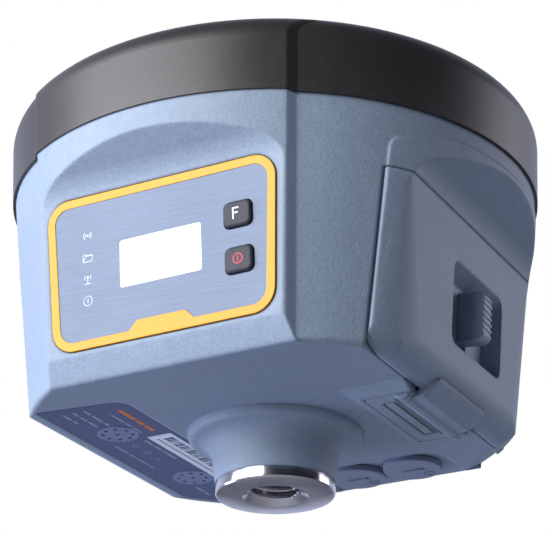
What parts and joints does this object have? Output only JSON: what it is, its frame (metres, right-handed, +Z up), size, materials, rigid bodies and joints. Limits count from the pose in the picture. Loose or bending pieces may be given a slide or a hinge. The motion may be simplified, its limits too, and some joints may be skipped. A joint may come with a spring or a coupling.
{
  "type": "gnss receiver",
  "caption": "Round pole-top satellite positioning receiver with a domed cover, front display panel, hinged battery door with sliding latch, and a threaded neck underneath.",
  "frame": {"origin": "antenna reference point: the centre of the steel ring's lower face, where the receiver seats on its pole", "axes": "+Z up out of the radome, -Y out of the display panel, +X out of the battery door"},
  "size_m": [0.1536, 0.156, 0.137],
  "materials": {
    "radome_plastic": "fine satin moulded plastic, dark taupe",
    "housing_paint": "blue-grey powder coat with a fine grain on die-cast metal",
    "border_yellow": "smooth yellow moulding",
    "panel_metal": "blue-grey plate brushed along its length",
    "key_rubber": "smooth dark keypad rubber",
    "display_glass": "clear hard-coated window",
    "module_black": "black moulding",
    "lamp_guide": "milky light guide",
    "latch_plastic": "dark blue-grey moulding",
    "bay_plastic": "dark moulded plastic",
    "battery_plastic": "dark battery case",
    "ring_steel": "turned and polished stainless steel",
    "screw_steel": "plain steel",
    "label_plate": "dark blue printed plate",
    "sticker_paper": "white paper sticker",
    "grille_plastic": "perforated blue-grey insert",
    "cap_rubber": "soft blue-grey rubber",
    "seal_rubber": "black sealing rubber",
    "port_brass": "plated contacts and connectors",
    "board_green": "green circuit board",
    "shield_tin": "tinned shields",
    "plane_aluminium": "plain aluminium sheet",
    "patch_ceramic": "ceramic antenna element",
    "coax_copper": "brown screened lead"
  },
  "bodies": {
    "housing": {"antenna_ground_plane": "plane_aluminium", "antenna_tray": "bay_plastic", "backup_cell": "screw_steel", "base_label": "label_plate", "battery_bay": "bay_plastic", "battery_contacts": "port_brass", "battery_label": "sticker_paper", "battery_pack": "battery_plastic", "board_screws": "screw_steel", "board_standoffs": "port_brass", "cellular_module": "shield_tin", "coax_cable": "coax_copper", "data_port": "port_brass", "display_module": "module_black", "display_window": "display_glass", "dome_switches": "screw_steel", "door_gasket": "seal_rubber", "feed_pins": "port_brass", "gnss_module": "shield_tin", "hinge_block": "housing_paint", "hinge_pin": "screw_steel", "hinge_plate": "housing_paint", "keypad_board": "board_green", "lna_shield": "shield_tin", "lower_housing": "housing_paint", "lower_patch": "patch_ceramic", "main_board": "board_green", "mount_insert": "ring_steel", "panel_border": "border_yellow", "panel_gasket": "seal_rubber", "panel_plate": "panel_metal", "panel_ribbon": "lamp_guide", "power_port": "port_brass", "radio_module": "shield_tin", "radome": "radome_plastic", "radome_gasket": "seal_rubber", "radome_screws": "screw_steel", "serial_sticker": "sticker_paper", "shield_cans": "shield_tin", "sim_tray": "bay_plastic", "speaker": "module_black", "speaker_grilles": "grille_plastic", "status_lenses": "lamp_guide", "tilt_sensor": "module_black", "upper_patch": "patch_ceramic", "wifi_antenna": "board_green"},
    "door": {"battery_door": "housing_paint", "latch_cover": "bay_plastic", "latch_screws": "screw_steel", "latch_spring": "screw_steel"},
    "latch": {"latch_knob": "latch_plastic", "latch_bolt": "screw_steel"},
    "function_key": {"function_key": "key_rubber"},
    "power_key": {"power_key": "key_rubber"},
    "data_cap": {"data_port_cap": "cap_rubber"},
    "power_cap": {"power_port_cap": "cap_rubber"}
  },
  "joints": [
    {"name": "door_hinge", "type": "hinge", "parent": "housing", "child": "door", "pos_m": [0.0464, 0.001, 0.0169], "axis": [0, 1, 0], "range_deg": [0, 85]},
    {"name": "latch_slide", "type": "slide", "parent": "door", "child": "latch", "axis": [-0.0823, 0, -0.9966], "range_m": [0, 0.003], "stiffness_N_per_m": 400, "springref_m": -0.001, "deforming": ["latch_spring"]},
    {"name": "function_key_press", "type": "slide", "parent": "housing", "child": "function_key", "axis": [0, 0.9966, 0.0823], "range_m": [0, 0.0007], "stiffness_N_per_m": 1500, "springref_m": -0.0002},
    {"name": "power_key_press", "type": "slide", "parent": "housing", "child": "power_key", "axis": [0, 0.9966, 0.0823], "range_m": [0, 0.0007], "stiffness_N_per_m": 1500, "springref_m": -0.0002},
    {"name": "data_cap_pull", "type": "slide", "parent": "housing", "child": "data_cap", "axis": [0, 0, -1], "range_m": [0, 0.01]},
    {"name": "power_cap_pull", "type": "slide", "parent": "housing", "child": "power_cap", "axis": [0, 0, -1], "range_m": [0, 0.01]}
  ]
}
